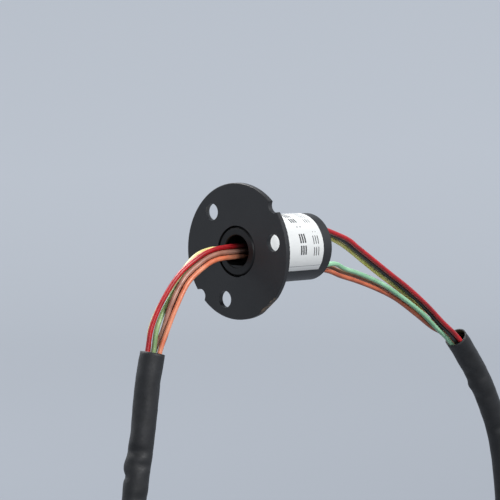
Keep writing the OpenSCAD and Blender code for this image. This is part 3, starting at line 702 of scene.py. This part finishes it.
def labelFilm():
    material, tree, shader = blankMaterial("labelFilm")
    place = usePlace(tree)
    parts = addNode(tree, "ShaderNodeSeparateXYZ", {0: place})
    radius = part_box("label")[1].x - labelSetup["skin"] * mm
    around = calc(tree, "MULTIPLY", calc(tree, "ARCTAN2", parts.outputs[2], parts.outputs[0]), radius)
    field = useGroup(tree, grainGroup, {"Place": place, "Grain per metre": 3000, "Patch per metre": 150,
                                        "Height": 0.00001})
    surface = mixed(tree, field["Patch"], *labelSetup["film"])
    fieldGroup = makeFieldGroup()
    for along, arc, tall, wide, pitch, share in labelSetup["fields"]:
        ink = useGroup(tree, fieldGroup, {
            "Along": parts.outputs[1], "Around": around, "Middle along": along * mm,
            "Middle around": arc * mm, "Tall": tall * mm, "Wide": wide * mm, "Pitch": pitch * mm,
            "Share": share})
        surface = mixed(tree, ink[0], surface, labelSetup["ink"])
    off = calc(tree, "ABSOLUTE", calc(tree, "SUBTRACT", around, labelSetup["linePlace"] * mm))
    onLine = calc(tree, "LESS_THAN", off, labelSetup["lineWidth"] / 2 * mm)
    surface = mixed(tree, onLine, surface, labelSetup["line"])
    tree.links.new(surface, shader.inputs["Base Color"])
    tree.links.new(between(tree, field["Tone"], 0.42, 0.55, 0.3, 0.7), shader.inputs["Roughness"])
    tree.links.new(field["Normal"], shader.inputs["Normal"])
    return material


dress(labelFilm(), "label")


# Stage and light

stageSetup = {
    # metres: a round floor that bends up into a wall
    "floorHeight": -0.26, "radius": 3.2, "bend": 0.9, "height": 3.0, "inner": (0, 0.5, 1.2),
    "bendSteps": 12, "turnSteps": 96,
    # where the near tone gives way to the far one, and the soft cloud that blurs it
    "nearTo": 1.1, "farFrom": 3.0, "cloudPerMetre": 0.7, "cloudReach": 0.4,
    "far": paint(187, 194, 204), "near": paint(146, 152, 161), "bounce": paint(96, 100, 106),
    # how much of the paper's look is its own light, to the eye and in a shiny surface, and how strong
    # that is; the rest is lit by the lamps, so the floor keeps the object's shadow
    "glow": 0.45, "mirrored": 0.85, "strength": 1.75,
}
lampSetup = {
    "key": {"at": (1.5, 0.25, 1.35), "size": 0.5, "watts": 32},
    "top": {"at": (-1.0, 0.06, 1.6), "size": 0.4, "watts": 36},
    "side": {"at": (1.6, -1.0, 0.6), "size": 0.6, "watts": 9},
    "fill": {"at": (-1.6, -0.5, 0.9), "size": 0.6, "watts": 6},
}
worldLight = {"colour": (0.9, 0.94, 1.0, 1), "strength": 0.22}


def makeStage():
    radius, bend, floor = stageSetup["radius"], stageSetup["bend"], stageSetup["floorHeight"]
    profile = [(reach, floor) for reach in stageSetup["inner"]]
    for k in range(stageSetup["bendSteps"] + 1):
        angle = math.radians(90 / stageSetup["bendSteps"] * k)
        profile.append((radius - bend + bend * math.sin(angle), floor + bend - bend * math.cos(angle)))
    profile.append((radius, stageSetup["height"]))
    mesh = bpy.data.meshes.new("backdrop")
    shape = bmesh.new()
    chain = [shape.verts.new((r, 0, z)) for r, z in profile]
    edges = [shape.edges.new(pair) for pair in zip(chain, chain[1:])]
    bmesh.ops.spin(shape, geom=chain + edges, cent=(0, 0, 0), axis=(0, 0, 1), angle=math.tau,
                   steps=stageSetup["turnSteps"])
    bmesh.ops.remove_doubles(shape, verts=shape.verts, dist=0.0001)
    for face in shape.faces:
        face.smooth = True
        outward = face.normal.dot(face.calc_center_median()) > 0
        if face.normal.z < 0 or (abs(face.normal.z) < 0.1 and outward):
            face.normal_flip()
    shape.to_mesh(mesh)
    shape.free()
    backdrop = bpy.data.objects.new("backdrop", mesh)
    bpy.context.scene.collection.objects.link(backdrop)
    material, tree, shader = blankMaterial("backdropPaper")
    place = usePlace(tree)
    parts = addNode(tree, "ShaderNodeSeparateXYZ", {0: place})
    reach = calc(tree, "SQRT", calc(tree, "ADD", calc(tree, "POWER", parts.outputs[0], 2.0),
                                    calc(tree, "POWER", parts.outputs[1], 2.0)))
    cloud = addNode(tree, "ShaderNodeTexNoise", {"Vector": place, "Scale": stageSetup["cloudPerMetre"],
                                                 "Detail": 1.0})
    distance = calc(tree, "ADD", reach,
                    calc(tree, "MULTIPLY", cloud.outputs[0], stageSetup["cloudReach"]))
    seen = mixed(tree, between(tree, distance, 0, 1, stageSetup["nearTo"], stageSetup["farFrom"]),
                 stageSetup["near"], stageSetup["far"])
    rays = addNode(tree, "ShaderNodeLightPath")
    tree.links.new(mixed(tree, rays.outputs["Is Camera Ray"], stageSetup["bounce"], seen),
                   shader.inputs["Base Color"])
    shader.inputs["Roughness"].default_value = 0.9
    shader.inputs["Specular IOR Level"].default_value = 0.1
    glow = addNode(tree, "ShaderNodeEmission", {"Color": seen, "Strength": stageSetup["strength"]})
    mirrored = calc(tree, "MAXIMUM", rays.outputs["Is Glossy Ray"], rays.outputs["Is Transmission Ray"])
    shown = calc(tree, "ADD", calc(tree, "MULTIPLY", rays.outputs["Is Camera Ray"], stageSetup["glow"]),
                 calc(tree, "MULTIPLY", mirrored, stageSetup["mirrored"]))
    blend = addNode(tree, "ShaderNodeMixShader", {0: shown, 1: shader.outputs[0], 2: glow.outputs[0]})
    tree.links.new(blend.outputs[0], tree.nodes["Material Output"].inputs["Surface"])
    mesh.materials.append(material)


def setLight():
    for name, lamp in lampSetup.items():
        data = bpy.data.lights.new(name, "AREA")
        data.shape = "DISK"
        data.size = lamp["size"]
        data.energy = lamp["watts"]
        light = bpy.data.objects.new(name, data)
        light.location = lamp["at"]
        light.rotation_euler = (-Vector(lamp["at"])).to_track_quat("-Z", "Y").to_euler()
        bpy.context.scene.collection.objects.link(light)
    world = bpy.data.worlds.new("studio")
    world.use_nodes = True
    world.node_tree.nodes["Background"].inputs[0].default_value = worldLight["colour"]
    world.node_tree.nodes["Background"].inputs[1].default_value = worldLight["strength"]
    bpy.context.scene.world = world
    bpy.context.scene.view_settings.view_transform = "Standard"


print("stage and light")
makeStage()
setLight()


# What moves with what

for side, lead in (("front", frontLead), ("rear", rearLead)):
    for piece, node in ((sleeves[side], f"{side}_sleeve"), (tips[side], f"{side}_tips")):
        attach(piece, lead["body"])
        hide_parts(node)
    for colour in lead["lay"]:
        wire, route = wires[side, colour]
        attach(wire, lead["body"])
        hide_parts(f"{side}_{colour}_wire")
